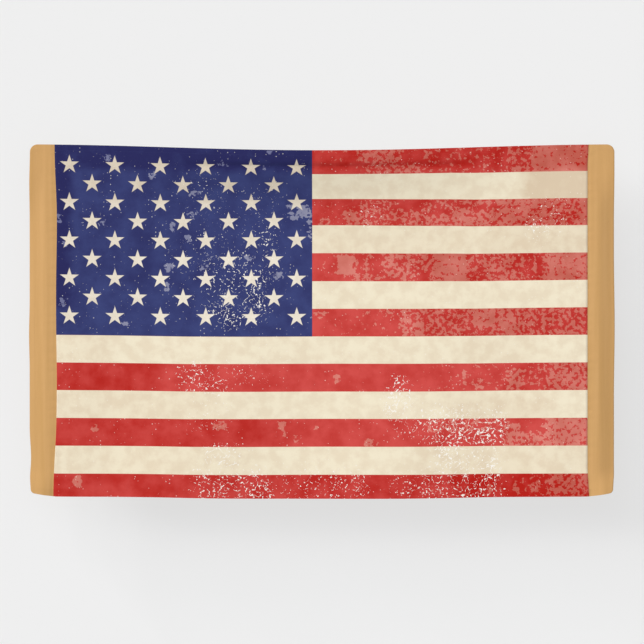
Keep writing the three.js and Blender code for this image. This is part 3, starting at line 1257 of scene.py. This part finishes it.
@dataclass
class FlagPanel:
    """The printed panel, hemmed along its top and bottom."""

    hang: Hang
    outline: Outline
    layout: Layout
    wear: Wear
    spacing: float = 6.2 * MM

    def build(self, finish: PrintedCloth) -> bpy.types.Object:
        """Makes the panel.

        Args:
            finish: the printed cloth.

        Returns:
            The panel, with its wear, stains, deeper ink and painted shade in attributes.
        """
        cut = self.hang.cut
        sheet = Sheet(
            "printed_panel",
            lambda v: -self.outline.seam(End.LEFT, v),
            lambda v: self.outline.seam(End.RIGHT, v),
            self.hang,
            self.layout,
            self.spacing,
            lambda u, v: cut.thickness(cut.from_edge(v)),
            lambda u, v: np.zeros_like(u),
        )
        piece = sheet.build({side: finish.build(side) for side in Side})
        place = np.zeros(len(piece.data.vertices) * 3, np.float32)
        piece.data.attributes[PLACE].data.foreach_get("vector", place)
        u, w, _ = place.reshape(-1, 3).astype(float).T
        wear = self.wear
        for name, values in (
            ("faded", wear.level(wear.faded(), u, w, wear.soft_edge)),
            ("cracked", wear.level(wear.cracked(), u, w, wear.cluster_edge)),
            # the darker patches: deeper ink, and painted shade along the left seam
            ("deep_and_shaded", wear.clouded(wear.deep_and_shaded(), u, w)),
            ("stained", wear.clouded(wear.stained(), u, w)),
            ("darker_stars", wear.clouded(wear.darker_stars(), u, w)),
        ):
            store(piece.data, name, values)
        return piece


@dataclass
class EndBand:
    """A plain band, lapped behind the panel's edge and hemmed on its other three sides."""

    end: End
    hang: Hang
    outline: Outline
    layout: Layout
    spacing: float = 3.6 * MM
    lap: float = 9 * MM
    lap_gap: float = 0.1 * MM  # between the lap and the panel in front of it
    lap_start: float = 0.5 * MM  # beyond the seam, where the band starts to come forward
    lap_rise: float = 12 * MM  # and where it lies level with the panel

    def seam(self, v: Array) -> Array:
        """Signed place of the seam at height v."""
        return self.end.value * self.outline.seam(self.end, v)

    def edge(self, v: Array) -> Array:
        """Signed place of the outer edge at height v."""
        return self.end.value * self.outline.edge(self.end, v)

    def inner(self, v: Array) -> Array:
        """Signed place of the edge that laps behind the panel, at height v."""
        return self.seam(v) - self.end.value * self.lap

    def thickness(self, u: Array, v: Array) -> Array:
        """Thickness of the band: two layers within its hems, and one where it laps."""
        inset = np.minimum(self.hang.cut.from_edge(v), np.abs(self.edge(v)) - np.abs(u))
        return self.hang.cut.thickness(inset)

    def sink(self, u: Array, v: Array) -> Array:
        """How far the band's face lies behind the panel's."""
        panel = self.hang.cut.thickness(self.hang.cut.from_edge(v)) + self.lap_gap
        beyond = np.abs(u) - np.abs(self.seam(v))
        return panel * (1 - smooth(self.lap_start, self.lap_rise, beyond))

    def build(self, material: bpy.types.Material) -> bpy.types.Object:
        """Makes the band.

        Args:
            material: the tan cloth.

        Returns:
            The band.
        """
        left, right = (self.edge, self.inner) if self.end is End.LEFT else (self.inner, self.edge)
        name = f"tan_band_{self.end.name.lower()}"
        sheet = Sheet(
            name, left, right, self.hang, self.layout, self.spacing, self.thickness, self.sink
        )
        return sheet.build({side: material for side in Side})


@dataclass
class Stitching:
    """Rows of lockstitch, made by a node tree from the lines that they follow."""

    hang: Hang
    outline: Outline
    layout: Layout
    stitch: float = 3.2 * MM
    gap: float = 0.8 * MM
    thread: float = 0.5 * MM
    line_step: float = 6 * MM
    proud: float = 0.05 * MM  # how far a thread's middle stands off the cloth
    hem_inset: float = 2.5 * MM  # from a hem's free edge to its stitches
    seam_inset: float = 3.5 * MM  # from a seam to its stitches
    end_inset: float = 1 * MM  # from the panel's sides to the ends of its hem lines
    top_inset: float = 2 * MM  # from the top and bottom edges to the ends of the seam lines
    band_inset: float = 14 * MM  # from a band's sides to the ends of its hem lines
    band_edge_inset: float = 14.5 * MM  # from a band's outer edge to its stitches

    def tree(self) -> Tree:
        """Builds the node tree that lays stitches along every line of a mesh of edges.

        Returns:
            The tree. Its inputs are the lines, the stitches' sizes and their finish.
        """
        tree = bpy.data.node_groups.new("lockstitch", "GeometryNodeTree")
        sockets = tree.interface
        sockets.new_socket("Lines", in_out="INPUT", socket_type="NodeSocketGeometry")
        for name in ("Pitch", "Stitch length", "Thread"):
            sockets.new_socket(name, in_out="INPUT", socket_type="NodeSocketFloat")
        sockets.new_socket("Finish", in_out="INPUT", socket_type="NodeSocketMaterial")
        sockets.new_socket("Stitches", in_out="OUTPUT", socket_type="NodeSocketGeometry")
        lines = add_node(tree, "NodeGroupInput")
        given = lines.node.outputs
        curve = add_node(tree, "GeometryNodeMeshToCurve", {0: lines})
        points = add_node(
            tree, "GeometryNodeResampleCurve", {"Curve": curve, "Length": given["Pitch"]}, mode="LENGTH"
        )
        tangent = add_node(tree, "GeometryNodeInputTangent")
        turned = add_node(tree, "FunctionNodeAlignRotationToVector", {"Vector": tangent}, axis="X")
        ball = add_node(tree, "GeometryNodeMeshUVSphere", {"Segments": 5, "Rings": 4, "Radius": 0.5})
        size = add_node(
            tree, "ShaderNodeCombineXYZ", {0: given["Stitch length"], 1: given["Thread"], 2: given["Thread"]}
        )
        laid = add_node(
            tree, "GeometryNodeInstanceOnPoints",
            {"Points": points, "Instance": ball, "Rotation": turned, "Scale": size},
        )
        real = add_node(tree, "GeometryNodeRealizeInstances", {0: laid})
        smoothed = add_node(tree, "GeometryNodeSetShadeSmooth", {0: real})
        finished = add_node(
            tree, "GeometryNodeSetMaterial", {"Geometry": smoothed, "Material": given["Finish"]}
        )
        add_node(tree, "NodeGroupOutput", {0: finished})
        return tree

    def build(
        self, name: str, lines: list[StitchLine], finish: bpy.types.Material, slot: str
    ) -> bpy.types.Object:
        """Makes one piece of stitching.

        Args:
            name: the piece's name.
            lines: the lines that the stitches follow.
            finish: the thread's material.
            slot: not used.

        Returns:
            The piece, as a plain mesh.
        """
        points, places, edges = [], [], []
        start = 0
        for u, v, offset in lines:
            points.append(self.hang.point(u, v) + self.hang.normal(u, v) * offset)
            places.append(self.layout.place(u, v, self.hang.cut.height))
            edges += [(i, i + 1) for i in range(start, start + len(u) - 1)]
            start += len(u)
        mesh = bpy.data.meshes.new(f"{name}_lines")
        mesh.from_pydata(np.concatenate(points).tolist(), edges, [])
        store(mesh, PLACE, np.concatenate(places))
        guide = add_object(f"{name}_lines", mesh)
        modifier = guide.modifiers.new("stitches", "NODES")
        modifier.node_group = self.tree()
        given = {
            "Pitch": self.stitch + self.gap, "Stitch length": self.stitch, "Thread": self.thread,
            "Finish": finish,
        }
        for item in modifier.node_group.interface.items_tree:
            if item.in_out == "INPUT" and item.name in given:
                modifier[item.identifier] = given[item.name]
        evaluated = guide.evaluated_get(bpy.context.evaluated_depsgraph_get())
        plain = bpy.data.meshes.new_from_object(evaluated)
        plain.name = name
        piece = add_object(name, plain)
        bpy.data.objects.remove(guide)
        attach(piece, "root")
        LOG.info("%s: %d faces", name, len(plain.polygons))
        return piece

    def panel_lines(self) -> list[StitchLine]:
        """Lays out the panel's stitches: its two hems and its two seams.

        Returns:
            The lines.
        """
        cut, outline = self.hang.cut, self.outline
        lines = []
        for v in self._hem_lines():
            left, right = (end.value * float(outline.seam(end, np.array(v))) for end in End)
            lines += self._both_faces(*self._along(v, left + self.end_inset, right - self.end_inset))
        v = np.arange(self.top_inset, cut.height - self.top_inset, self.line_step)
        for end in End:
            lines.append((end.value * (outline.seam(end, v) - self.seam_inset), v, self._face()))
        return lines

    def band_lines(self, end: End) -> list[StitchLine]:
        """Lays out the stitches of an end band: its two hems and the fold of its outer edge.

        Args:
            end: the band's end.

        Returns:
            The lines.
        """
        cut, outline = self.hang.cut, self.outline
        lines = []
        for v in self._hem_lines():
            inner = end.value * (float(outline.seam(end, np.array(v))) + self.band_inset)
            outer = end.value * (float(outline.edge(end, np.array(v))) - self.band_inset)
            lines += self._both_faces(*self._along(v, *sorted((inner, outer))))
        v = np.arange(cut.hem, cut.height - cut.hem, self.line_step)
        return lines + self._both_faces(end.value * (outline.edge(end, v) - self.band_edge_inset), v)

    def _hem_lines(self) -> tuple[float, float]:
        """Heights of the stitches along the top and bottom hems."""
        cut = self.hang.cut
        return cut.hem - self.hem_inset, cut.height - cut.hem + self.hem_inset

    def _face(self) -> float:
        """How far in front of the middle of a hem its thread lies."""
        return self.hang.cut.hemmed / 2 + self.proud

    def _both_faces(self, u: Array, v: Array) -> list[StitchLine]:
        """One line on the front and the same line on the back."""
        return [(u, v, offset) for offset in (self._face(), -self._face())]

    def _along(self, v: float, from_u: float, to_u: float) -> tuple[Array, Array]:
        """A line along the width, at one height."""
        u = np.linspace(from_u, to_u, round((to_u - from_u) / self.line_step))
        return u, np.full_like(u, v)


# ---------------------------------------------------------------------------------------------
# Camera, light, wall and floor
# ---------------------------------------------------------------------------------------------


@dataclass
class Studio:
    """A face-on camera, even light from the front, soft lamps high on the left, a pale wall and floor.

    The lamps are given by the place of the shadow that they throw on the wall, to the right of and
    below the cloth, and by their share of the light that falls on the wall.
    """

    lens: float = 135.0
    sensor: float = 36.0
    distance: float = 6.289
    cloth_plane: float = 46 * MM
    centre: tuple[float, float] = (0.5 * MM, -444 * MM)
    wall_gap: float = 75 * MM  # from the cloth's plane to the wall
    wall_size: tuple[float, float] = (5.0, 3.4)
    floor_drop: float = 1.62
    even_share: float = 0.75
    floor_share: float = 0.55
    floor_lamp_angle: float = math.radians(90)  # wide, so that it throws no sharp shadow
    key_share: float = 0.10
    key_lamps: int = 10
    key_right: tuple[float, float] = (-25 * MM, 378 * MM)
    key_down: float = 100 * MM
    key_down_spread: float = 90 * MM
    key_soft: float = 55 * MM
    tail_share: float = 0.05
    tails: tuple[tuple[float, float], ...] = ((0.12, 0.20), (0.22, 0.28), (0.32, 0.38))  # right, down
    room_share: float = 0.10
    room_light: str = "#FFFFFF"
    backdrop: float = 0.86  # brightness of the empty space beyond the wall
    wall_paint: Paint = Paint("matt_wall_paint", "#EFEFEF", one_sided=True)
    floor_paint: Paint = Paint("matt_floor_paint", "#FAFAF9")

    def build(self) -> None:
        """Makes the camera, the lights and the stage."""
        scene = bpy.context.scene
        scene.view_settings.view_transform = "Standard"
        x, z = self.centre
        camera = add_object("camera", bpy.data.cameras.new("camera"))
        camera.data.lens = self.lens
        camera.data.sensor_width = self.sensor
        camera.location = (x, self.cloth_plane - self.distance, z)
        camera.rotation_euler = (math.pi / 2, 0, 0)
        scene.camera = camera
        self._lights()
        self._room()
        self._stage()

    def _lights(self) -> None:
        """The even light, in front and behind, and the soft lamps that throw the shadow."""
        for name, side in (("even_front", -1), ("even_back", 1)):
            light = self._lamp(name, Vector((0, side, 0)), self.even_share).data
            light.use_shadow = False
            light.cycles.max_bounces = 0
        golden = (math.sqrt(5) - 1) / 2  # its multiples fall evenly between 0 and 1
        first, last = self.key_right
        for i in range(self.key_lamps):
            right = first + (last - first) * (i + 0.5) / self.key_lamps
            down = self.key_down + self.key_down_spread * (i * golden % 1 - 0.5)
            self._soft_lamp(f"key_{i + 1}", right, down, self.key_share / self.key_lamps)
        for i, (right, down) in enumerate(self.tails):
            self._soft_lamp(f"tail_{i + 1}", right, down, self.tail_share / len(self.tails))

    def _soft_lamp(self, name: str, right: float, down: float, share: float) -> None:
        """Makes a lamp by the place of the shadow that it throws, which has a soft edge.

        Args:
            name: the lamp's name.
            right: how far to the right the shadow falls.
            down: how far down it falls.
            share: the light that it gives to the wall, where 1 is the wall's whole light.
        """
        towards = Vector((-right, -self.wall_gap, down))
        light = self._lamp(name, towards, share).data
        light.angle = 2 * self.key_soft * self.wall_gap / towards.length_squared

    def _lamp(
        self, name: str, towards: Vector, share: float, facing: tuple[float, float, float] = (0, 1, 0)
    ) -> bpy.types.Object:
        """Makes a distant lamp.

        Args:
            name: the lamp's name.
            towards: the direction from the cloth to the lamp.
            share: the light that it gives to the surface, where 1 is the wall's whole light.
            facing: the surface's normal: the wall's, unless it is given.

        Returns:
            The lamp.
        """
        light = bpy.data.lights.new(name, "SUN")
        light.energy = math.pi * share * towards.length / abs(towards.dot(Vector(facing)))
        lamp = add_object(name, light)
        lamp.rotation_euler = (-towards).to_track_quat("-Z", "Y").to_euler()
        return lamp

    def _room(self) -> None:
        """Faint light from all round, and a pale surround where the wall ends."""
        world = bpy.data.worlds.new("room")
        world.use_nodes = True
        tree = world.node_tree
        tree.nodes.clear()
        seen = add_node(tree, "ShaderNodeLightPath", out="Is Camera Ray")
        strength = add_node(tree, "ShaderNodeMapRange", {0: seen, 3: self.room_share, 4: self.backdrop})
        light = add_node(
            tree, "ShaderNodeBackground", {"Color": linear(self.room_light), "Strength": strength}
        )
        add_node(tree, "ShaderNodeOutputWorld", {"Surface": light})
        bpy.context.scene.world = world

    def _stage(self) -> None:
        """The wall behind the cloth and the floor below it, which has a lamp of its own."""
        back = self.cloth_plane + self.wall_gap
        wide, high = self.wall_size
        half, low = wide / 2, -self.floor_drop
        top = low + high
        wall = [(-half, back, low), (half, back, low), (half, back, top), (-half, back, top)]
        ground = [(-half, -wide, low), (half, -wide, low), (half, back, low), (-half, back, low)]
        self._surface("wall", wall, self.wall_paint)
        floor = self._surface("floor", ground, self.floor_paint)
        lit = bpy.data.collections.new("lit_floor")
        lit.objects.link(floor)
        overhead = self._lamp("floor_light", Vector((0, 0, 1)), self.floor_share, (0, 0, 1))
        overhead.data.angle = self.floor_lamp_angle
        overhead.light_linking.receiver_collection = lit

    def _surface(
        self, name: str, corners: list[tuple[float, float, float]], paint: Paint
    ) -> bpy.types.Object:
        """Makes a flat surface of the stage, which throws no shadow and sends no light back.

        Args:
            name: the surface's name.
            corners: its four corners.
            paint: its finish.

        Returns:
            The surface.
        """
        mesh = bpy.data.meshes.new(name)
        mesh.from_pydata(corners, [], [(0, 1, 2, 3)])
        mesh.materials.append(paint.build())
        surface = add_object(name, mesh)
        surface.visible_shadow = False
        surface.visible_diffuse = False
        surface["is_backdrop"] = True
        return surface


def build_banner() -> None:
    """Builds the banner's pieces in order."""
    hang, outline, layout = Hang(), Outline(), Layout()
    printed = PrintedCloth()
    tan = TanCloth().build()
    sewing = Stitching(hang, outline, layout)
    panel = FlagPanel(hang, outline, layout, Wear()).build(printed)
    front = panel.data.materials[0]
    thread = sewing.build("panel_stitches", sewing.panel_lines(), front, "printed_cloth")
    mark(panel, "flag_panel")
    for end in End:
        side = end.name.lower()
        band = EndBand(end, hang, outline, layout).build(tan)
        thread = sewing.build(f"band_stitches_{side}", sewing.band_lines(end), tan, "tan_cloth")
        mark(band, f"band_{side}")


def write_sizes() -> None:
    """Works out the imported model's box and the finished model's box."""
    boxes = {"cad": CAD_BOX, "visual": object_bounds()}
    {name: [list(corner) for corner in box] for name, box in boxes.items()}


def main() -> None:
    """Builds the stage and the banner."""
    logging.basicConfig(level=logging.INFO, format="%(name)s: %(message)s")
    Studio().build()
    build_banner()
    write_sizes()


if __name__ == "__main__":
    main()
